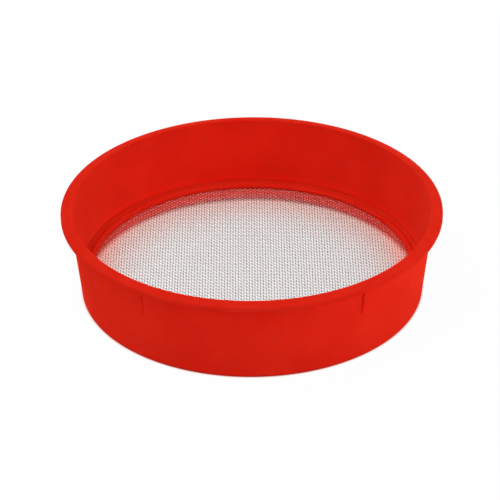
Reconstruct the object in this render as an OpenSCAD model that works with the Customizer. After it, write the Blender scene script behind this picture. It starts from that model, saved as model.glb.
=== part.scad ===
// Round sand sieve. A moulded bowl leans out to a turned-over rim. Near its foot a ledge
// carries a disc of plain wire cloth, and a clamp ring snaps in on top and holds it down.
// The origin is the middle of the face that the sieve stands on, and Z points up.

/* [Bowl] */
// Diameter over the rim
rim_d = 220; // [190:1:260]
// Height of the whole sieve
bowl_h = 52.5; // [46:0.5:70]
// Thickness of the leaning wall, measured level
wall_t = 1.6; // [1.3:0.1:2.2]
// Lean of the wall from upright, in degrees
wall_draft = 6; // [3:0.1:8]
// Rounding of the wall's foot
foot_round = 0.4; // [0.2:0.1:0.6]

/* [Rim] */
// Reach of the rim beyond the wall
rim_reach = 5.1; // [4.5:0.1:7]
// Thickness of the rim's plate
rim_t = 1.8; // [1.4:0.1:2.2]
// Fall of the rim from the wall to its outer edge
rim_fall = 1.1; // [0.4:0.1:2]
// Height of the rim's outer edge, with the lip turned down
lip_h = 2.6; // [2.3:0.1:4]
// Thickness of the lip
lip_t = 1.5; // [1.2:0.1:2]
// Rounding of the rim's outer edge
rim_round = 0.8; // [0.4:0.1:0.9]
// Rounding of the mouth's edge
mouth_round = 0.6; // [0.3:0.1:0.8]

/* [Stacking ribs] */
// Number of ribs around the wall
rib_count = 5; // [3:1:8]
// Thickness of a rib
rib_t = 1.5; // [1:0.1:2.5]
// Reach of a rib beyond the wall
rib_reach = 1.2; // [0.6:0.1:2]
// Height of a rib below the rim
rib_h = 20.5; // [12:0.5:26]
// Height of the slope at a rib's foot
rib_slope_h = 2.5; // [1:0.5:4]

/* [Ledge] */
// Reach of the ledge from the wall to the open screen
ledge_reach = 5.5; // [5:0.1:9]
// Height of the middle of the wire cloth above the floor
cloth_z = 9.9; // [7:0.1:14]
// Thickness of the ledge under the cloth
ledge_t = 1.8; // [1.4:0.1:3]
// Rounding in the corners under the ledge and the rim
corner_round = 0.8; // [0.4:0.1:1]

/* [Clamp ring] */
// Height of the ring at the wall
ring_h = 3.5; // [2.8:0.1:4.5]
// Height of the ring's crest beside the screen
crest_h = 2.8; // [2.2:0.1:3.6]
// Width of the crest
crest_w = 3.2; // [2.6:0.1:3.6]
// Height of the hollow between the crest and the wall
hollow_h = 1.8; // [1.2:0.1:2.1]
// Gap between the ring and the wall
ring_gap = 0.15; // [0.05:0.05:0.3]
// Reach of the snap bead that holds the ring down
bead_reach = 0.45; // [0.35:0.05:0.7]
// Height of the snap bead
bead_h = 1.2; // [0.8:0.1:1.6]

/* [Wire cloth] */
// Spacing of the wires
wire_pitch = 1.6; // [1.4:0.1:6]
// Diameter of a wire
wire_d = 0.3; // [0.25:0.05:0.6]
// Gap between the cloth's cut edge and the wall
cloth_gap = 2.4; // [1:0.1:3]

/* [Hidden] */

// Facets of a full turn on the bowl and on a wire
turn_facets = 240;
wire_facets = 16;
// Facets of one rounded corner
corner_steps = 4;

// Clearances where the wires cross and where the cloth is held
cross_gap = 0.02;
seat_gap = 0.04;
// Gap between the snap bead and the ring below it
snap_gap = 0.1;
// Rounding of the ledge's and the ring's free edges
edge_round = 0.3;
// Rounding of the snap bead
bead_round = 0.2;
// Rounding of the hollow and of the crest beside it
hollow_round = 1;
// Depth that a rib is rooted in the wall
rib_root = 0.8;

rim_r = rim_d / 2;
wall_top_r = rim_r - rim_reach;
rim_under_z = bowl_h - rim_t;
rim_edge_z = bowl_h - rim_fall;
lip_z = rim_edge_z - lip_h;
lip_r = rim_r - lip_t;

// Radius of the wall's two faces at a height
function outer_r(z) = wall_top_r - (rim_under_z - z) * tan(wall_draft);
function inner_r(z) = outer_r(z) - wall_t;
// Height of the rim's underside at a radius
function rim_under(r) = rim_under_z - rim_fall * (r - wall_top_r) / rim_reach;

// The cloth is two layers of wires, one crossing on the other
warp_z = cloth_z - (wire_d + cross_gap) / 2;
weft_z = cloth_z + (wire_d + cross_gap) / 2;
ledge_z = warp_z - wire_d / 2 - seat_gap;
ledge_under_z = ledge_z - ledge_t;
ring_z = weft_z + wire_d / 2 + seat_gap;
ring_top_z = ring_z + ring_h;
bead_z = ring_top_z + snap_gap + bead_h / 2;

screen_r = inner_r(ledge_z) - ledge_reach;
cloth_r = inner_r(ledge_z) - cloth_gap;
side_wires = floor((cloth_r - wire_pitch / 2) / wire_pitch);

// Points of the arc that rounds corner b, on the way from a to c
function unit(v) = v / norm(v);
function corner_arc(a, b, c, radius) =
    let (
        back = unit(a - b),
        ahead = unit(c - b),
        half = acos(back * ahead) / 2,
        centre = b + unit(back + ahead) * radius / sin(half),
        first = b + back * radius / tan(half) - centre,
        last = b + ahead * radius / tan(half) - centre,
        sweep = acos(unit(first) * unit(last))
    )
    [for (step = [0 : corner_steps])
        let (share = step / corner_steps)
        centre + (first * sin(sweep * (1 - share)) + last * sin(sweep * share)) / sin(sweep)];

// An outline from rows of radius, height and rounding, where a rounding of 0 stays sharp
function spot(row) = [row[0], row[1]];
function rounded(rows) =
    let (count = len(rows))
    [for (i = [0 : count - 1])
        each rows[i][2] == 0
            ? [spot(rows[i])]
            : corner_arc(
                spot(rows[(i + count - 1) % count]),
                spot(rows[i]),
                spot(rows[(i + 1) % count]),
                rows[i][2])];

// Cross-section of the bowl, from its foot up the outside, over the rim and down the inside
body_rows = [
    [inner_r(0), 0, foot_round],
    [outer_r(0), 0, foot_round],
    [wall_top_r, rim_under_z, corner_round],
    [lip_r, rim_under(lip_r), 0],
    [lip_r, lip_z, edge_round],
    [rim_r, lip_z, edge_round],
    [rim_r, rim_edge_z, rim_round],
    [wall_top_r, bowl_h, corner_round],
    [inner_r(bowl_h), bowl_h, mouth_round],
    [inner_r(bead_z + bead_h / 2), bead_z + bead_h / 2, 0],
    [inner_r(bead_z) - bead_reach, bead_z, bead_round],
    [inner_r(bead_z - bead_h / 2), bead_z - bead_h / 2, 0],
    [inner_r(ledge_z), ledge_z, 0],
    [screen_r, ledge_z, edge_round],
    [screen_r, ledge_under_z, edge_round],
    [inner_r(ledge_under_z), ledge_under_z, corner_round]
];

// Cross-section of the ring: flat on the cloth, high at the wall, hollow, then a round crest
ring_rows = [
    [screen_r, ring_z, edge_round],
    [inner_r(ring_z) - ring_gap, ring_z, edge_round],
    [inner_r(ring_top_z) - ring_gap, ring_top_z, edge_round],
    [screen_r + crest_w, ring_z + hollow_h, hollow_round],
    [screen_r + crest_w / 2, ring_z + crest_h, hollow_round],
    [screen_r, ring_z + crest_h / 2, hollow_round]
];

module rib() {
    foot_z = rim_under_z - rib_h;
    slope_z = foot_z + rib_slope_h;
    rotate([90, 0, 0])
        linear_extrude(height = rib_t, center = true)
            polygon([
                [outer_r(foot_z) - rib_root, foot_z],
                [outer_r(foot_z), foot_z],
                [outer_r(slope_z) + rib_reach, slope_z],
                [wall_top_r + rib_reach, rim_under(wall_top_r + rib_reach)],
                [wall_top_r, rim_under_z],
                [wall_top_r - rib_root, rim_under_z]
            ]);
}

module sieve_body() {
    color([0.84, 0.12, 0.07])
        union() {
            rotate_extrude($fn = turn_facets)
                polygon(rounded(body_rows));
            for (i = [0 : rib_count - 1])
                rotate([0, 0, 90 + 360 * i / rib_count])
                    rib();
        }
}

module clamp_ring() {
    color([0.78, 0.1, 0.06])
        rotate_extrude($fn = turn_facets)
            polygon(rounded(ring_rows));
}

// Parallel wires along X, each cut to the cloth's round edge
module wire_layer(z) {
    for (i = [-side_wires : side_wires])
        let (
            offset_y = i * wire_pitch,
            length = 2 * sqrt(cloth_r * cloth_r - offset_y * offset_y)
        )
        translate([0, offset_y, z])
            rotate([0, 90, 0])
                cylinder(h = length, d = wire_d, center = true, $fn = wire_facets);
}

module warp_wires() {
    color([0.78, 0.79, 0.8])
        rotate([0, 0, 90])
            wire_layer(warp_z);
}

module weft_wires() {
    color([0.84, 0.85, 0.86])
        wire_layer(weft_z);
}

sieve_body();
clamp_ring();
warp_wires();
weft_wires();
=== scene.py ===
"""A round sand sieve on a pale studio floor.

A moulded bowl leans out to a turned-over rim. A ledge near its foot carries a disc of plain woven
wire, and a clamp ring snaps in on top and holds it down.
"""

import logging
import math
import random
from collections.abc import Callable, Iterator
from contextlib import contextmanager
from dataclasses import dataclass
from enum import Enum
from typing import Any, NamedTuple

import bmesh
import bpy
from mathutils import Matrix, Vector


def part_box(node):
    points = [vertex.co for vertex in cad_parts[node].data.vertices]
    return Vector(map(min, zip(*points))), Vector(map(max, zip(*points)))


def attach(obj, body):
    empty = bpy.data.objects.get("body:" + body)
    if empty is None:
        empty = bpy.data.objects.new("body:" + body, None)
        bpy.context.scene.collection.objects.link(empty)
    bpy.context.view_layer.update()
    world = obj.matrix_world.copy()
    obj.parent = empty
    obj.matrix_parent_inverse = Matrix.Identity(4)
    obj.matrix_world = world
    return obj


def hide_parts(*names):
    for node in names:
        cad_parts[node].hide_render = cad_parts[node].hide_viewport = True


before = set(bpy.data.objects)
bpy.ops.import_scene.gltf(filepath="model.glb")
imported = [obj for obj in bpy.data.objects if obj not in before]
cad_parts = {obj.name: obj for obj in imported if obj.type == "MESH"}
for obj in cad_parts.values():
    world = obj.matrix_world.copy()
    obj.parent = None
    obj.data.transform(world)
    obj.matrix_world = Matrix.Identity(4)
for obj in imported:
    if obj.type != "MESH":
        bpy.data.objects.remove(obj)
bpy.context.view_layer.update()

# Lengths in this file are metres, so a millimetre is this
MM = 0.001
# Points closer than this are one point
WELD = 0.001 * MM
# Edges that turn further than this stay crisp
CRISP_ANGLE = math.radians(40)
QUARTER_TURN = math.pi / 2
FULL_TURN = 2 * math.pi
ORIGIN = (0.0, 0.0, 0.0)

# The highest level of a colour picker, and the display's curve: a straight start up to a knee,
# then a power of the level moved by an offset
TOP_LEVEL = 255
CURVE_KNEE = 0.04045
CURVE_SLOPE = 12.92
CURVE_OFFSET = 0.055
CURVE_POWER = 2.4
# The value about which a noise pattern swings
NOISE_MIDDLE = 0.5

BODY = "root"

Colour = tuple[float, float, float, float]
# Numbers for X, Y and Z, or for red, green and blue
Triple = tuple[float, float, float]
# A reading's low and high limit
Limits = tuple[float, float]
log = logging.getLogger("sand_sieve")


# Colours

def paint(red: int, green: int, blue: int) -> Colour:
    """Give a colour picker's red, green and blue, 0 to 255, as the light that a shader takes.

    Args:
        red: Red of the picker.
        green: Green of the picker.
        blue: Blue of the picker.

    Returns:
        The colour as linear light, with an alpha of 1.
    """
    def light(level: int) -> float:
        """Undo the display's curve for one channel."""
        share = level / TOP_LEVEL
        if share <= CURVE_KNEE:
            return share / CURVE_SLOPE
        return ((share + CURVE_OFFSET) / (1 + CURVE_OFFSET)) ** CURVE_POWER

    return (light(red), light(green), light(blue), 1.0)


# Mesh work

class Kind(Enum):
    """What a selection in edit mode picks."""

    EDGES = "edges"
    FACES = "faces"


class Corner(NamedTuple):
    """A corner of a turned outline: its radius, height and rounding."""

    radius: float
    height: float
    rounding: float = 0.0


def make_active(piece: bpy.types.Object) -> None:
    """Select one piece alone, and make it the active one."""
    bpy.ops.object.select_all(action="DESELECT")
    piece.select_set(True)
    bpy.context.view_layer.objects.active = piece


@contextmanager
def editing(piece: bpy.types.Object) -> Iterator[None]:
    """Hold a piece in edit mode, with nothing selected at the start."""
    make_active(piece)
    bpy.ops.object.mode_set(mode="EDIT")
    bpy.ops.mesh.select_all(action="DESELECT")
    yield
    bpy.ops.object.mode_set(mode="OBJECT")


def pick(piece: bpy.types.Object, kind: Kind, wanted: Callable[[Vector], bool]) -> None:
    """Select only the edges or faces whose corners all pass a test.

    Args:
        piece: The piece, in edit mode.
        kind: Whether edges or faces are picked.
        wanted: The test of a corner's place.
    """
    bpy.ops.mesh.select_all(action="DESELECT")
    mesh = bmesh.from_edit_mesh(piece.data)
    passed = {corner for corner in mesh.verts if wanted(corner.co)}
    for part in getattr(mesh, kind.value):
        if passed.issuperset(part.verts):
            part.select_set(True)
    bmesh.update_edit_mesh(piece.data)


def settle(piece: bpy.types.Object) -> None:
    """Put a piece's place, turn and scale into its mesh."""
    make_active(piece)
    bpy.ops.object.transform_apply(location=True, rotation=True, scale=True)


def copy_of(piece: bpy.types.Object) -> bpy.types.Object:
    """Copy a piece with a mesh of its own, and return the copy."""
    make_active(piece)
    bpy.ops.object.duplicate(linked=False)
    return bpy.context.object


def joined(name: str, pieces: list[bpy.types.Object]) -> bpy.types.Object:
    """Join pieces into one object.

    Args:
        name: The name of the joined piece.
        pieces: What is joined.

    Returns:
        The joined piece.
    """
    make_active(pieces[0])
    for piece in pieces:
        piece.select_set(True)
    if len(pieces) > 1:
        bpy.ops.object.join()
    whole = bpy.context.object
    whole.name = name
    return whole


def apply_modifier(piece: bpy.types.Object, kind: str, **settings: Any) -> None:
    """Add a modifier, set it and apply it.

    Args:
        piece: The piece that takes it.
        kind: The modifier's type.
        **settings: Its settings by name.
    """
    make_active(piece)
    bpy.ops.object.modifier_add(type=kind)
    modifier = piece.modifiers[-1]
    for setting, value in settings.items():
        setattr(modifier, setting, value)
    bpy.ops.object.modifier_apply(modifier=modifier.name)


def rounding_reach(before: Corner, corner: Corner, after: Corner) -> float:
    """Work out how far along its sides a corner's rounding reaches."""
    back = Vector((before.radius - corner.radius, before.height - corner.height))
    ahead = Vector((after.radius - corner.radius, after.height - corner.height))
    return corner.rounding / math.tan(back.angle(ahead) / 2)


def turned(name: str, corners: list[Corner], facets: int, steps: int) -> bpy.types.Object:
    """Turn an outline about the vertical, from corner to corner, and round its corners.

    Args:
        name: The name of the piece.
        corners: The closed outline.
        facets: The facets of a full turn.
        steps: The facets of one rounding.

    Returns:
        The closed piece.
    """
    first = corners[0]
    bpy.ops.mesh.primitive_circle_add(
        vertices=facets, radius=first.radius, location=(0, 0, first.height))
    piece = bpy.context.object
    piece.name = name
    settle(piece)
    following = corners[1:] + corners[:1]
    leading = corners[-1:] + corners[:-1]
    with editing(piece):
        bpy.ops.mesh.select_all(action="SELECT")
        for corner, after in zip(corners, following):
            widening = after.radius / corner.radius
            bpy.ops.mesh.extrude_region_move()
            bpy.ops.transform.translate(value=(0, 0, after.height - corner.height))
            bpy.ops.transform.resize(value=(widening, widening, 1), center_override=ORIGIN)
        bpy.ops.mesh.select_all(action="SELECT")
        bpy.ops.mesh.remove_doubles(threshold=WELD)
        for before, corner, after in zip(leading, corners, following):
            if corner.rounding:
                pick(piece, Kind.EDGES, lambda place: is_on(place, corner))
                bpy.ops.mesh.bevel(
                    offset=rounding_reach(before, corner, after), segments=steps, affect="EDGES")
        bpy.ops.mesh.select_all(action="SELECT")
        bpy.ops.mesh.normals_make_consistent(inside=False)
    return piece


def is_on(place: Vector, corner: Corner) -> bool:
    """Tell whether a point lies on the ring that a corner makes."""
    off = (math.hypot(place.x, place.y) - corner.radius, place.z - corner.height)
    return math.hypot(*off) < 2 * WELD


# Shader work

@dataclass(frozen=True)
class Pattern:
    """A soft random pattern.

    Attributes:
        size: The size of its spots.
        detail: How many finer layers it has.
        stretch: How much longer than wide the spots are along each axis.
        start: A shift that makes one pattern differ from the next.
    """

    size: float
    detail: float = 2.0
    stretch: Triple = (1, 1, 1)
    start: float = 0.0


class Bench:
    """Lays and links the nodes of one material or of the world."""

    # Where the colour form of a Mix node has its two colours and its result
    MIX_SOCKETS = (6, 7)
    MIX_RESULT = 2

    def __init__(self, tree: bpy.types.NodeTree) -> None:
        """Clear the tree and keep it."""
        self.tree = tree
        tree.nodes.clear()

    def node(self, kind: str, settings: dict[str, Any] | None = None,
             values: dict[str | int, Any] | None = None) -> bpy.types.Node:
        """Add a node of any type.

        Args:
            kind: The node's type.
            settings: Its settings by name, which are set first.
            values: A number, colour, reading or socket for each named or numbered input.

        Returns:
            The node.
        """
        made = self.tree.nodes.new(kind)
        for setting, value in (settings or {}).items():
            setattr(made, setting, value)
        for place, value in (values or {}).items():
            self.feed(made.inputs[place], value)
        return made

    def feed(self, socket: bpy.types.NodeSocket, value: Any) -> None:
        """Link a reading or socket to an input, or set the input's own value.

        Args:
            socket: The input.
            value: What it gets.
        """
        if isinstance(value, Reading):
            value = value.socket
        if isinstance(value, bpy.types.NodeSocket):
            self.tree.links.new(value, socket)
        else:
            socket.default_value = value

    def place(self) -> bpy.types.NodeSocket:
        """Find a surface point's place on the object."""
        return self.node("ShaderNodeTexCoord").outputs["Object"]

    def reach(self) -> tuple["Reading", "Reading"]:
        """Read a surface point's distance from the upright axis, and its height."""
        parts = self.node("ShaderNodeSeparateXYZ", values={"Vector": self.place()})
        x, y, z = (Reading(self, parts.outputs[axis]) for axis in "XYZ")
        return (x * x + y * y) ** 0.5, z

    def noise(self, pattern: Pattern) -> "Reading":
        """Lay a pattern over the object.

        Args:
            pattern: The pattern's sizes.

        Returns:
            Its reading, which swings about the noise's middle.
        """
        drawn = self.node("ShaderNodeMapping", values={
            "Vector": self.place(), "Location": (pattern.start,) * 3,
            "Scale": tuple(1 / part for part in pattern.stretch)})
        spots = self.node("ShaderNodeTexNoise", values={
            "Vector": drawn.outputs["Vector"], "Scale": 1 / pattern.size,
            "Detail": pattern.detail})
        return Reading(self, spots.outputs[0])

    def ramp(self, reading: "Reading", low: float, high: float) -> "Reading":
        """Run smoothly from 0 where a reading is low to 1 where it is high.

        Args:
            reading: What is read.
            low: The reading that gives 0.
            high: The reading that gives 1.

        Returns:
            The share between the two.
        """
        made = self.node(
            "ShaderNodeMapRange", {"interpolation_type": "SMOOTHSTEP"},
            {"Value": reading, "From Min": low, "From Max": high})
        return Reading(self, made.outputs["Result"])

    def blend(self, factor: "Reading", first: Any, second: Any) -> bpy.types.NodeSocket:
        """Mix two colours.

        Args:
            factor: The share of the second.
            first: The colour at a factor of 0.
            second: The colour at a factor of 1.

        Returns:
            The mixed colour's socket.
        """
        low, high = self.MIX_SOCKETS
        made = self.node(
            "ShaderNodeMix", {"data_type": "RGBA"}, {"Factor": factor, low: first, high: second})
        return made.outputs[self.MIX_RESULT]

    def relief(self, height: "Reading", depth: float, strength: float,
               under: bpy.types.NodeSocket | None = None) -> bpy.types.NodeSocket:
        """Turn a height pattern into a bumped normal.

        Args:
            height: The pattern, 0 to 1.
            depth: The height of a full step.
            strength: The share of the relief that shows.
            under: The normal of a coarser relief below it.

        Returns:
            The normal's socket.
        """
        values = {"Height": height, "Distance": depth, "Strength": strength}
        if under is not None:
            values["Normal"] = under
        return self.node("ShaderNodeBump", values=values).outputs["Normal"]

    def show(self, shader: bpy.types.Node, output: str = "ShaderNodeOutputMaterial") -> None:
        """Put a shader on the surface.

        Args:
            shader: The node of the shader.
            output: The type of the output node.
        """
        self.node(output, values={"Surface": shader.outputs[0]})


class Reading:
    """A number that comes out of a node. Sums and products of it add Math nodes."""

    def __init__(self, bench: Bench, socket: bpy.types.NodeSocket) -> None:
        """Keep the socket, and the bench that further nodes go on."""
        self.bench = bench
        self.socket = socket

    def math(self, operation: str, first: Any, second: Any) -> "Reading":
        """Add one Math node.

        Args:
            operation: What it does.
            first: Its first number.
            second: Its second number.

        Returns:
            Its result.
        """
        made = self.bench.node("ShaderNodeMath", {"operation": operation}, {0: first, 1: second})
        return Reading(self.bench, made.outputs[0])

    def __add__(self, other: Any) -> "Reading":
        """Add to it."""
        return self.math("ADD", self, other)

    def __radd__(self, other: Any) -> "Reading":
        """Add it to a number."""
        return self.math("ADD", other, self)

    def __sub__(self, other: Any) -> "Reading":
        """Take from it."""
        return self.math("SUBTRACT", self, other)

    def __rsub__(self, other: Any) -> "Reading":
        """Take it from a number."""
        return self.math("SUBTRACT", other, self)

    def __mul__(self, other: Any) -> "Reading":
        """Multiply it."""
        return self.math("MULTIPLY", self, other)

    def __rmul__(self, other: Any) -> "Reading":
        """Multiply a number by it."""
        return self.math("MULTIPLY", other, self)

    def __pow__(self, other: Any) -> "Reading":
        """Raise it to a power."""
        return self.math("POWER", self, other)

    def swing(self, play: float) -> "Reading":
        """Turn a noise pattern into a swing to both sides of 0."""
        return (self - NOISE_MIDDLE) * play


def new_material(name: str) -> tuple[bpy.types.Material, Bench]:
    """Start a material and its bench."""
    material = bpy.data.materials.new(name)
    material.use_nodes = True
    return material, Bench(material.node_tree)


def dress(piece: bpy.types.Object, material: bpy.types.Material) -> None:
    """Give a piece one material."""
    piece.data.materials.clear()
    piece.data.materials.append(material)


# Finishes

@dataclass(frozen=True)
class MouldedPlastic:
    """Red polypropylene, coloured through, as it leaves a fine-grained mould."""

    name: str
    colour: Colour = paint(236, 43, 26)
    deep_colour: Colour = paint(230, 38, 23)
    # Painted shade: a darker tone painted on the rim's edge and the lip's face, and a much darker
    # one on the foot's edge, where it stands on the floor
    rim_painted_shade_colour: Colour = paint(221, 36, 22)
    foot_painted_shade_colour: Colour = paint(178, 32, 25)
    scuffed_colour: Colour = paint(233, 48, 32)
    scuffed_share: float = 0.6
    roughness: float = 0.34
    roughness_play: float = 0.08
    scuffed_roughness: float = 0.14
    shine: float = 0.0
    # How much of the light goes into the plastic, and how far each colour travels in it
    depth_share: float = 0.85
    depth_colours: Triple = (1.0, 0.12, 0.06)
    depth: float = 2.4 * MM
    # The cloudy pigment, the wall's slow waves and the mould's grain
    clouds: Pattern = Pattern(26 * MM, detail=4)
    cloud_limits: Limits = (0.3, 0.7)
    waves: Pattern = Pattern(14 * MM, stretch=(1, 1, 2.5), start=1.7)
    wave_depth: float = 0.05 * MM
    wave_strength: float = 0.5
    grain: Pattern = Pattern(0.45 * MM, detail=3, start=3.1)
    grain_depth: float = 0.012 * MM
    grain_strength: float = 0.6
    # Within this much of the rim's edge and of the foot, painted shade darkens the plastic, and
    # wear shows in patches
    edge_shade_and_wear_band: float = 1.4 * MM
    rubs: Pattern = Pattern(22 * MM, start=5.3)
    rub_limits: Limits = (0.3, 0.8)
    # Low down inside, a tone is painted for how light falls there: painted light on the bowl's
    # skirt under the ledge, brighter than its red, and painted shade on the clamp ring, a little
    # darker than its red. It fades out between these heights, and at the middle of the wall's
    # thickness
    low_inside_painted_tone: Colour = paint(255, 46, 28)
    painted_tone_full_z: float = 7 * MM
    painted_tone_end_z: float = 20 * MM
    wall_blur: float = 0.3 * MM

    def material(self, rim_r: float, wall_r: float, lean: float) -> bpy.types.Material:
        """Make the material.

        Args:
            rim_r: The radius of the edge that rubs when the piece is handled.
            wall_r: The radius of the middle of the bowl's wall at its foot.
            lean: How much wider the wall gets for its height.

        Returns:
            The material.
        """
        material, bench = new_material(self.name)
        radius, z = bench.reach()
        clouds, waves, grain, rubs = (
            bench.noise(pattern) for pattern in (self.clouds, self.waves, self.grain, self.rubs))
        at_rim = bench.ramp(radius, rim_r - self.edge_shade_and_wear_band, rim_r)
        at_foot = 1 - bench.ramp(z, 0.0, self.edge_shade_and_wear_band)
        rubbed = (at_rim + at_foot) * bench.ramp(rubs, *self.rub_limits)
        # The radius that a point has once it slides down to the foot, along the wall's lean
        slid = radius - z * lean
        inside = 1 - bench.ramp(slid, wall_r - self.wall_blur, wall_r + self.wall_blur)
        # Share of the tone painted low inside: painted light on the bowl, painted shade on the ring
        low_inside_painted_share = inside * (1 - bench.ramp(z, self.painted_tone_full_z, self.painted_tone_end_z))
        tone = bench.blend(
            bench.ramp(clouds, *self.cloud_limits), self.deep_colour, self.colour)
        # Over the cloudy tone go the tone painted low inside, the painted shade at the rim and the
        # foot, and the scuffs
        for share, colour in (
                (low_inside_painted_share, self.low_inside_painted_tone), (at_rim, self.rim_painted_shade_colour),
                (at_foot, self.foot_painted_shade_colour), (rubbed * self.scuffed_share, self.scuffed_colour)):
            tone = bench.blend(share, tone, colour)
        roughness = (
            self.roughness + clouds.swing(self.roughness_play) + grain.swing(self.roughness_play)
            + rubbed * self.scuffed_roughness)
        slow = bench.relief(waves, self.wave_depth, self.wave_strength)
        normal = bench.relief(grain, self.grain_depth, self.grain_strength, under=slow)
        bench.show(bench.node("ShaderNodeBsdfPrincipled", values={
            "Base Color": tone, "Roughness": roughness, "Normal": normal,
            "Specular IOR Level": self.shine, "Subsurface Weight": self.depth_share,
            "Subsurface Radius": self.depth_colours, "Subsurface Scale": self.depth}))
        return material


@dataclass(frozen=True)
class DrawnSteel:
    """Bright steel wire with fine lines along its length from the drawing die."""

    name: str
    # The drawing lines, which run along the wires
    lines: Pattern
    bright: Colour = (0.64, 0.63, 0.62, 1.0)
    dull: Colour = (0.54, 0.53, 0.52, 1.0)
    roughness: float = 0.13
    roughness_play: float = 0.1
    line_depth: float = 0.004 * MM
    line_strength: float = 0.5
    patches: Pattern = Pattern(7 * MM, detail=3, start=2.3)
    # Shares of the patches and the lines in the tone, and the sums that are dull and bright
    patch_share: float = 0.6
    line_share: float = 0.4
    tone_limits: Limits = (0.35, 0.65)
    # Painted reflection: a red tint painted on the wires near the ring, standing in for the red
    # ring mirrored in them, and the radii between which it comes in
    painted_ring_reflection: Colour = (0.88, 0.34, 0.30, 1.0)
    reflection_start_r: float = 80 * MM
    reflection_full_r: float = 89 * MM

    def material(self) -> bpy.types.Material:
        """Make the material."""
        material, bench = new_material(self.name)
        radius, _ = bench.reach()
        lines, patches = bench.noise(self.lines), bench.noise(self.patches)
        shares = patches * self.patch_share + lines * self.line_share
        tone = bench.blend(bench.ramp(shares, *self.tone_limits), self.dull, self.bright)
        # Painted reflection of the red ring on the wires beside it
        tone = bench.blend(bench.ramp(radius, self.reflection_start_r, self.reflection_full_r), tone, self.painted_ring_reflection)
        roughness = (
            self.roughness + lines.swing(self.roughness_play) + patches.swing(self.roughness_play))
        bench.show(bench.node("ShaderNodeBsdfPrincipled", values={
            "Base Color": tone, "Metallic": 1.0, "Roughness": roughness,
            "Normal": bench.relief(lines, self.line_depth, self.line_strength)}))
        return material


@dataclass(frozen=True)
class PaleFloor:
    """Matt white board that reads white, keeps a soft shadow, and has painted red bounce and shade.
    """

    name: str = "pale_board"
    colour: Colour = (0.92, 0.92, 0.92, 1.0)
    white: Colour = (1.0, 1.0, 1.0, 1.0)
    # Painted red bounce light: the red that the wall throws on the board at its foot, painted in
    painted_red_bounce: Colour = (1.0, 0.62, 0.55, 1.0)
    glow: float = 1.0
    # Shares of the glow in the middle of the sieve's foot, just inside it and just outside it
    share_middle: float = 0.91
    share_near: float = 0.83
    share_open: float = 0.98
    # Radii where the middle ends, the foot stands, the open floor begins and all is glow
    middle_r: float = 45 * MM
    foot_r: float = 98 * MM
    open_r: float = 101 * MM
    far_r: float = 400 * MM
    # How fast the painted bounce fades from the wall
    painted_bounce_fade: float = 2.6
    # The red shade in the corner between the board and the foot, and the radius where it comes in
    shade: Colour = (0.6, 0.12, 0.09, 1.0)
    shade_r: float = 94.5 * MM

    def material(self) -> bpy.types.Material:
        """Make the material."""
        material, bench = new_material(self.name)
        radius, _ = bench.reach()
        outwards = bench.ramp(radius, self.middle_r, self.foot_r)
        outside = bench.ramp(radius, self.foot_r, self.open_r)
        away = bench.ramp(radius, self.open_r, self.far_r)
        share = (
            self.share_middle - outwards * (self.share_middle - self.share_near)
            + outside * (self.share_open - self.share_near) + away * (1 - self.share_open))
        # Painted red bounce light near the foot, fading towards the middle
        painted_bounce_share = outwards ** self.painted_bounce_fade * (1 - outside)
        shaded = bench.ramp(radius, self.shade_r, self.foot_r) * (1 - outside)
        cast = bench.blend(painted_bounce_share, self.white, self.painted_red_bounce)
        matt = bench.node("ShaderNodeBsdfDiffuse", values={"Color": self.colour})
        lit = bench.node("ShaderNodeEmission", values={
            "Strength": self.glow, "Color": bench.blend(shaded, cast, self.shade)})
        bench.show(bench.node("ShaderNodeMixShader", values={
            0: seen_rays(bench) * share, 1: matt.outputs[0], 2: lit.outputs[0]}))
        return material


def seen_rays(bench: Bench) -> Reading:
    """Read 1 for what the camera sees, straight or in a mirror or glass, and else 0."""
    path = bench.node("ShaderNodeLightPath")
    camera = Reading(bench, path.outputs["Is Camera Ray"])
    glossy = Reading(bench, path.outputs["Is Glossy Ray"])
    through = Reading(bench, path.outputs["Is Transmission Ray"])
    return camera.math("MINIMUM", camera + glossy + through, 1.0)


# The sieve

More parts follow.
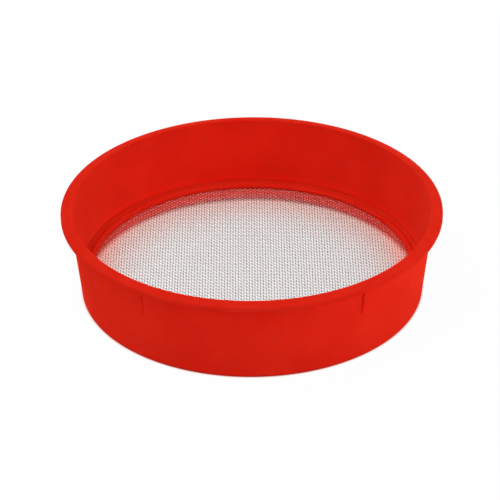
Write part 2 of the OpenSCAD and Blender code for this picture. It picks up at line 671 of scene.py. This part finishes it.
@dataclass
class MouldedBowl:
    """The bowl: foot, leaning wall, cloth ledge, snap bead, rim with its lip, stacking ribs."""

    rim_r: float
    height: float
    # Heights of the cloth's underside and top
    cloth_low: float
    cloth_high: float
    finish: MouldedPlastic = MouldedPlastic("bowl_red")
    wall_t: float = 1.6 * MM
    wall_draft: float = math.radians(6)
    foot_round: float = 0.4 * MM
    rim_reach: float = 5.1 * MM
    rim_t: float = 1.8 * MM
    rim_fall: float = 1.1 * MM
    lip_h: float = 2.6 * MM
    lip_t: float = 1.5 * MM
    rim_round: float = 0.8 * MM
    mouth_round: float = 0.6 * MM
    corner_round: float = 0.8 * MM
    edge_round: float = 0.3 * MM
    ledge_reach: float = 5.5 * MM
    ledge_t: float = 1.8 * MM
    seat_gap: float = 0.04 * MM
    bead_reach: float = 0.45 * MM
    bead_h: float = 1.2 * MM
    bead_gap: float = 0.1 * MM
    bead_round: float = 0.2 * MM
    ring_h: float = 3.5 * MM
    rib_count: int = 5
    rib_t: float = 1.5 * MM
    rib_reach: float = 1.2 * MM
    rib_h: float = 20.5 * MM
    rib_slope_h: float = 2.5 * MM
    rib_root: float = 0.8 * MM
    # How much wider a rib is at its root than at its edge
    rib_root_share: float = 1.45
    rib_round: float = 0.55 * MM
    facets: int = 360
    steps: int = 5

    @property
    def wall_top_r(self) -> float:
        """Radius where the wall's outside meets the rim."""
        return self.rim_r - self.rim_reach

    @property
    def rim_under_z(self) -> float:
        """Height where the wall's outside meets the rim."""
        return self.height - self.rim_t

    @property
    def ledge_z(self) -> float:
        """Height of the ledge's top, just under the cloth."""
        return self.cloth_low - self.seat_gap

    @property
    def ring_z(self) -> float:
        """Height of the clamp ring's underside, just over the cloth."""
        return self.cloth_high + self.seat_gap

    @property
    def screen_r(self) -> float:
        """Radius of the open screen."""
        return self.inner_r(self.ledge_z) - self.ledge_reach

    def outer_r(self, z: float) -> float:
        """Radius of the wall's outside at a height."""
        return self.wall_top_r - (self.rim_under_z - z) * math.tan(self.wall_draft)

    def inner_r(self, z: float) -> float:
        """Radius of the wall's inside at a height."""
        return self.outer_r(z) - self.wall_t

    def rim_under(self, radius: float) -> float:
        """Height of the rim's underside at a radius."""
        return self.rim_under_z - self.rim_fall * (radius - self.wall_top_r) / self.rim_reach

    def plastic(self, finish: MouldedPlastic) -> bpy.types.Material:
        """Make a finish's material for this bowl's wall and rim."""
        wall_r = self.outer_r(0) - self.wall_t / 2
        return finish.material(self.rim_r, wall_r, math.tan(self.wall_draft))

    def outline(self) -> list[Corner]:
        """List the corners from the foot up the outside, over the rim and down the inside."""
        edge_z = self.height - self.rim_fall
        lip_z = edge_z - self.lip_h
        lip_r = self.rim_r - self.lip_t
        bead_z = self.ring_z + self.ring_h + self.bead_gap + self.bead_h / 2
        bead_top = bead_z + self.bead_h / 2
        bead_foot = bead_z - self.bead_h / 2
        ledge_under = self.ledge_z - self.ledge_t
        return [
            Corner(self.inner_r(0), 0, self.foot_round),
            Corner(self.outer_r(0), 0, self.foot_round),
            Corner(self.wall_top_r, self.rim_under_z, self.corner_round),
            Corner(lip_r, self.rim_under(lip_r)),
            Corner(lip_r, lip_z, self.edge_round),
            Corner(self.rim_r, lip_z, self.edge_round),
            Corner(self.rim_r, edge_z, self.rim_round),
            Corner(self.wall_top_r, self.height, self.corner_round),
            Corner(self.inner_r(self.height), self.height, self.mouth_round),
            Corner(self.inner_r(bead_top), bead_top),
            Corner(self.inner_r(bead_z) - self.bead_reach, bead_z, self.bead_round),
            Corner(self.inner_r(bead_foot), bead_foot),
            Corner(self.inner_r(self.ledge_z), self.ledge_z),
            Corner(self.screen_r, self.ledge_z, self.edge_round),
            Corner(self.screen_r, ledge_under, self.edge_round),
            Corner(self.inner_r(ledge_under), ledge_under, self.corner_round),
        ]

    def model_rib(self) -> bpy.types.Object:
        """Model one stacking rib at the wall's +X side, rooted in the wall and in the rim.

        Returns:
            The rib.
        """
        foot_z = self.rim_under_z - self.rib_h
        slope_z = foot_z + self.rib_slope_h
        top_z = self.rim_under_z + self.rib_root
        rise = top_z - slope_z
        lean = math.tan(self.wall_draft)
        inside = self.outer_r(foot_z) - self.rib_root
        outer_line = self.outer_r(slope_z) - WELD
        bpy.ops.mesh.primitive_cube_add(
            size=1, location=(inside + self.rib_root / 2, 0, foot_z + self.rib_slope_h / 2),
            scale=(self.rib_root, self.rib_t, self.rib_slope_h))
        rib = bpy.context.object
        settle(rib)
        with editing(rib):
            pick(rib, Kind.FACES, lambda place: place.z > slope_z - WELD)
            bpy.ops.transform.translate(value=(self.rib_slope_h * lean, 0, 0))
            pick(rib, Kind.EDGES, lambda place: place.z > slope_z - WELD and place.x > outer_line)
            bpy.ops.transform.translate(value=(self.rib_reach, 0, 0))
            pick(rib, Kind.FACES, lambda place: place.z > slope_z - WELD)
            bpy.ops.mesh.extrude_region_move(
                TRANSFORM_OT_translate={"value": (rise * lean, 0, rise)})
            # The flanks spread towards the wall
            pick(rib, Kind.FACES,
                 lambda place: place.x < self.outer_r(place.z) - self.rib_root + WELD)
            bpy.ops.transform.resize(value=(1, self.rib_root_share, 1), center_override=ORIGIN)
            # The outer edges are rounded, apart from those of its two end faces
            pick(rib, Kind.EDGES, lambda place: place.x > self.outer_r(place.z) - WELD)
            for edge in bmesh.from_edit_mesh(rib.data).edges:
                ends = {round(corner.co.z / WELD) for corner in edge.verts}
                if ends in ({round(foot_z / WELD)}, {round(top_z / WELD)}):
                    edge.select_set(False)
            bpy.ops.mesh.bevel(offset=self.rib_round, segments=self.steps, affect="EDGES")
            bpy.ops.mesh.select_all(action="SELECT")
            bpy.ops.mesh.normals_make_consistent(inside=False)
        return rib

    def add_ribs(self, bowl: bpy.types.Object) -> None:
        """Copy the rib round the wall and fuse the copies with the bowl."""
        rib = self.model_rib()
        ribs = [rib] + [copy_of(rib) for _ in range(1, self.rib_count)]
        for i, made in enumerate(ribs):
            made.rotation_euler.z = QUARTER_TURN + FULL_TURN * i / self.rib_count
            settle(made)
        ribs_as_one = joined("ribs", ribs)
        apply_modifier(bowl, "BOOLEAN", operation="UNION", solver="EXACT", object=ribs_as_one)
        bpy.data.objects.remove(ribs_as_one)

    def build(self) -> bpy.types.Object:
        """Build and dress the bowl.

        Returns:
            The finished piece.
        """
        bowl = turned("bowl", self.outline(), self.facets, self.steps)
        self.add_ribs(bowl)
        finish_surface(bowl)
        dress(bowl, self.plastic(self.finish))
        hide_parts("sieve_body")
        return bowl


def finish_surface(piece: bpy.types.Object) -> None:
    """Shade a moulded piece smooth, with crisp corners and flats that stay flat."""
    make_active(piece)
    bpy.ops.object.shade_smooth_by_angle(angle=CRISP_ANGLE)
    apply_modifier(piece, "WEIGHTED_NORMAL", keep_sharp=True)


@dataclass
class ClampRing:
    """The ring that snaps in under the bead: flat below, hollow on top, with a round crest."""

    bowl: MouldedBowl
    # Its tone painted low inside is a little darker than its red: painted shade on the ring
    finish: MouldedPlastic = MouldedPlastic(
        "ring_red", colour=paint(243, 45, 27), deep_colour=paint(238, 40, 24),
        low_inside_painted_tone=paint(236, 42, 25))
    crest_h: float = 2.8 * MM
    crest_w: float = 3.2 * MM
    hollow_h: float = 1.8 * MM
    wall_gap: float = 0.15 * MM
    edge_round: float = 0.12 * MM
    hollow_round: float = 1.4 * MM
    crest_round: float = 1.0 * MM
    facets: int = 360
    steps: int = 6

    def outline(self) -> list[Corner]:
        """List the corners from the screen's edge out to the wall and back over the crest."""
        foot = self.bowl.ring_z
        top = foot + self.bowl.ring_h
        inside = self.bowl.screen_r
        return [
            Corner(inside, foot, self.edge_round),
            Corner(self.bowl.inner_r(foot) - self.wall_gap, foot, self.edge_round),
            Corner(self.bowl.inner_r(top) - self.wall_gap, top, self.edge_round),
            Corner(inside + self.crest_w, foot + self.hollow_h, self.hollow_round),
            Corner(inside + self.crest_w / 2, foot + self.crest_h, self.crest_round),
            Corner(inside, foot + self.crest_h / 2, self.crest_round),
        ]

    def build(self) -> bpy.types.Object:
        """Build and dress the ring.

        Returns:
            The finished piece.
        """
        ring = turned("clamp_ring_red", self.outline(), self.facets, self.steps)
        finish_surface(ring)
        dress(ring, self.bowl.plastic(self.finish))
        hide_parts("clamp_ring")
        return ring


class Layer(Enum):
    """The two sets of wires in the weave, by the names of their frame nodes."""

    WEFT = "weft_wires"
    WARP = "warp_wires"

    @property
    def axis(self) -> int:
        """Number of the axis along which the wires run: 0 for X, 1 for Y."""
        return list(Layer).index(self)


class Band(Enum):
    """The three parts that each layer is joined into, with the share of the radius where each ends.

    One part would have more faces than a piece may have.
    """

    NEAR = -0.265
    MIDDLE = 0.265
    FAR = 1.0


@dataclass
class WireWeave:
    """A disc of plain weave: each wire goes over one crossing wire and under the next."""

    radius: float
    middle_z: float
    wire_d: float
    thickness: float
    pitch: float = 1.6 * MM
    # Sides of a wire, and steps of one wave
    sides: int = 6
    steps: int = 8
    # How far a wire strays from its even spacing
    stray: float = 0.03 * MM
    seed: int = 11
    smooth_angle: float = math.radians(70)
    # Size of the drawing lines, and how much longer than wide they are
    line_size: float = 0.06 * MM
    line_stretch: float = 40.0

    @property
    def rise(self) -> float:
        """Height of a knuckle's middle line over the cloth's middle."""
        return (self.thickness - self.wire_d) / 2

    @property
    def side_wires(self) -> int:
        """Count of the wires on each side of the middle one."""
        return int((self.radius - self.pitch / 2) / self.pitch)

    def lift(self, along: float) -> float:
        """Height of the wire's middle line over the cloth's middle, along from a high knuckle."""
        return self.rise * math.cos(math.pi * along / self.pitch)

    def fall(self, along: float) -> float:
        """Angle at which the wire goes down, along from a high knuckle."""
        return math.atan(math.pi * self.rise / self.pitch * math.sin(math.pi * along / self.pitch))

    def model_wave(self) -> bpy.types.Object:
        """Model the wire along X, from one high knuckle to the next.

        Returns:
            The open tube of one wave.
        """
        bpy.ops.mesh.primitive_circle_add(
            vertices=self.sides, radius=self.wire_d / 2,
            location=(0, 0, self.middle_z + self.rise), rotation=(0, QUARTER_TURN, 0))
        wave = bpy.context.object
        settle(wave)
        run = 2 * self.pitch / self.steps
        with editing(wave):
            bpy.ops.mesh.select_all(action="SELECT")
            for step in range(self.steps):
                before, after = step * run, (step + 1) * run
                climb = self.lift(after) - self.lift(before)
                bpy.ops.mesh.extrude_region_move(
                    TRANSFORM_OT_translate={"value": (run, 0, climb)})
                bpy.ops.transform.rotate(
                    value=self.fall(before) - self.fall(after), orient_axis="Y",
                    center_override=(after, 0, self.middle_z + self.lift(after)))
        return wave

    def model_long_wire(self) -> bpy.types.Object:
        """Repeat the wave to a wire that is longer than the disc is wide.

        Returns:
            The wire, with a high knuckle at the middle.
        """
        wave = self.model_wave()
        side_waves = math.ceil(self.radius / (2 * self.pitch)) + 1
        apply_modifier(
            wave, "ARRAY", count=2 * side_waves, use_relative_offset=False,
            use_constant_offset=True, constant_offset_displace=(2 * self.pitch, 0, 0),
            use_merge_vertices=True, merge_threshold=WELD)
        wave.location.x = -side_waves * 2 * self.pitch
        settle(wave)
        return wave

    def cut_wire(
            self, long_wire: bpy.types.Object, line: int, shift: float, y: float,
    ) -> bpy.types.Object:
        """Copy the long wire to its line and cut it to the disc.

        Args:
            long_wire: The wire that is copied.
            line: The number of its line from the middle.
            shift: How far the knuckles are shifted along it.
            y: The line's place.

        Returns:
            The cut wire, with closed ends.
        """
        half = math.sqrt(self.radius ** 2 - (line * self.pitch) ** 2)
        wire = copy_of(long_wire)
        with editing(wire):
            bpy.ops.mesh.select_all(action="SELECT")
            bpy.ops.transform.translate(value=(shift, y, 0))
            for side in (-1, 1):
                bpy.ops.mesh.select_all(action="SELECT")
                bpy.ops.mesh.bisect(
                    plane_co=(side * half, 0, 0), plane_no=(side, 0, 0), use_fill=True,
                    clear_outer=True)
            bpy.ops.mesh.select_all(action="SELECT")
            bpy.ops.mesh.normals_make_consistent(inside=False)
        return wire

    def band_of(self, line: int) -> Band:
        """Tell which band a line belongs to."""
        share = line * self.pitch / self.radius
        return next(band for band in Band if share <= band.value)

    def build_layer(self, layer: Layer) -> list[bpy.types.Object]:
        """Build and dress one layer, a piece for each band.

        Args:
            layer: Which of the two.

        Returns:
            The bands' pieces.
        """
        chance = random.Random(f"{layer.value} {self.seed}")
        long_wire = self.model_long_wire()
        bands: dict[Band, list[bpy.types.Object]] = {band: [] for band in Band}
        for line in range(-self.side_wires, self.side_wires + 1):
            odd = (line + layer.axis) % 2
            y = line * self.pitch + chance.uniform(-self.stray, self.stray)
            wire = self.cut_wire(long_wire, line, odd * self.pitch, y)
            bands[self.band_of(line)].append(wire)
        bpy.data.objects.remove(long_wire)
        stretch = tuple(self.line_stretch if axis == layer.axis else 1 for axis in range(3))
        lines = Pattern(self.line_size, stretch=stretch)
        material = DrawnSteel(f"steel_{layer.value}", lines).material()
        pieces = []
        for band, wires in bands.items():
            piece = joined(f"{layer.value}_{band.name.lower()}", wires)
            if layer is Layer.WARP:
                piece.rotation_euler.z = QUARTER_TURN
                settle(piece)
            make_active(piece)
            bpy.ops.object.shade_smooth_by_angle(angle=self.smooth_angle)
            dress(piece, material)
            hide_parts(layer.value)
            pieces.append(piece)
        return pieces

    def build(self) -> list[bpy.types.Object]:
        """Build both layers."""
        return [piece for layer in Layer for piece in self.build_layer(layer)]


# The studio

@dataclass(frozen=True)
class Softbox:
    """A lamp that faces the sieve, by its direction from the sieve, its size and its power."""

    name: str
    towards: Triple
    width: float
    height: float
    power: float
    distance: float = 1.2

    def hang(self, target: Vector) -> None:
        """Hang the lamp and turn it to the target."""
        direction = Vector(self.towards).normalized()
        bpy.ops.object.light_add(type="AREA", location=target + direction * self.distance)
        lamp = bpy.context.object
        lamp.name = self.name
        lamp.rotation_euler = direction.to_track_quat("Z", "Y").to_euler()
        lamp.data.shape = "RECTANGLE"
        lamp.data.size = self.width
        lamp.data.size_y = self.height
        lamp.data.energy = self.power


@dataclass
class Studio:
    """A pale floor, a dim room, lamps and the camera."""

    floor_r: float = 4.0
    floor_facets: int = 96
    floor_gap: float = 0.02 * MM
    # Height of the white wall that stands round the floor
    sweep_h: float = 1.2
    floor_finish: PaleFloor = PaleFloor()
    room_light: float = 0.03
    # Name, direction, width, height, power and, where it isn't the usual one, the distance
    lamps: tuple[Softbox, ...] = (
        Softbox("upper_left", (-0.44, -0.15, 0.90), 2.4, 0.36, 10.2),
        Softbox("upper_right", (0.85, -0.05, 0.5), 0.75, 0.75, 3.9),
        Softbox("right_front", (0.82, -0.66, 0.42), 0.9, 0.9, 6.0, 1.4),
        Softbox("left_side", (-0.9, -0.35, 0.42), 0.9, 0.9, 3.2, 1.4),
        Softbox("left_back", (-0.45, 0.89, 0.10), 0.9, 0.2, 5.8, 1.4),
        Softbox("right_back", (0.45, 0.89, 0.10), 0.9, 0.2, 5.8, 1.4),
        Softbox("behind", (0.0, 0.9, 0.42), 1.4, 0.5, 1.4, 1.6),
    )
    # The camera's place: its height angle, roll, distance, aim and focal length
    elevation: float = math.radians(31.05)
    roll: float = math.radians(-0.42)
    distance: float = 1366 * MM
    aim: Triple = (-1.14 * MM, 0.0, 21.88 * MM)
    focal_mm: float = 168.76
    sensor_mm: float = 36.0

    def lay_floor(self) -> None:
        """Lay a round floor with a wall round it, clear of the sieve's foot."""
        bpy.ops.mesh.primitive_circle_add(
            vertices=self.floor_facets, radius=self.floor_r, fill_type="NGON",
            location=(0, 0, -self.floor_gap))
        floor = bpy.context.object
        floor.name = "floor"
        settle(floor)
        with editing(floor):
            bpy.ops.mesh.select_all(action="SELECT")
            bpy.ops.mesh.extrude_region_move(
                TRANSFORM_OT_translate={"value": (0, 0, self.sweep_h)})
            bpy.ops.mesh.delete(type="FACE")
        dress(floor, self.floor_finish.material())

    def light_room(self) -> None:
        """Light the room evenly and dimly."""
        world = bpy.data.worlds.new("white_room")
        world.use_nodes = True
        bpy.context.scene.world = world
        bench = Bench(world.node_tree)
        glow = bench.node(
            "ShaderNodeBackground", values={"Strength": self.room_light, "Color": (1, 1, 1, 1)})
        bench.show(glow, "ShaderNodeOutputWorld")

    def set_camera(self) -> None:
        """Put the camera at the photograph's angle."""
        turn = Matrix.Rotation(QUARTER_TURN - self.elevation, 3, "X")
        back = turn @ Vector((0, 0, 1))
        bpy.ops.object.camera_add(location=Vector(self.aim) + back * self.distance)
        camera = bpy.context.object
        camera.rotation_euler = (turn @ Matrix.Rotation(self.roll, 3, "Z")).to_euler()
        camera.data.lens = self.focal_mm
        camera.data.sensor_width = self.sensor_mm
        bpy.context.scene.camera = camera

    def build(self) -> None:
        """Set up the whole studio."""
        bpy.context.scene.view_settings.view_transform = "Standard"
        self.lay_floor()
        self.light_room()
        for lamp in self.lamps:
            lamp.hang(Vector(self.aim))
        self.set_camera()


def main() -> None:
    """Build the sieve and its studio, and report each piece."""
    bowl_box, ring_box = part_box("sieve_body"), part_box("clamp_ring")
    warp_box, weft_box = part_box(Layer.WARP.value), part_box(Layer.WEFT.value)
    cloth_low, cloth_high = warp_box[0].z, weft_box[1].z
    bowl = MouldedBowl(
        rim_r=bowl_box[1].x, height=bowl_box[1].z, cloth_low=cloth_low, cloth_high=cloth_high,
        ring_h=ring_box[1].z - ring_box[0].z)
    ring = ClampRing(bowl)
    weave = WireWeave(
        radius=weft_box[1].x, middle_z=(cloth_low + cloth_high) / 2,
        wire_d=weft_box[1].z - weft_box[0].z, thickness=cloth_high - cloth_low)
    pieces = [bowl.build(), ring.build(), *weave.build()]
    for piece in pieces:
        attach(piece, BODY)
        log.info("%s: %d faces", piece.name, len(piece.data.polygons))
    Studio().build()


if __name__ == "__main__":
    logging.basicConfig(level=logging.INFO)
    main()
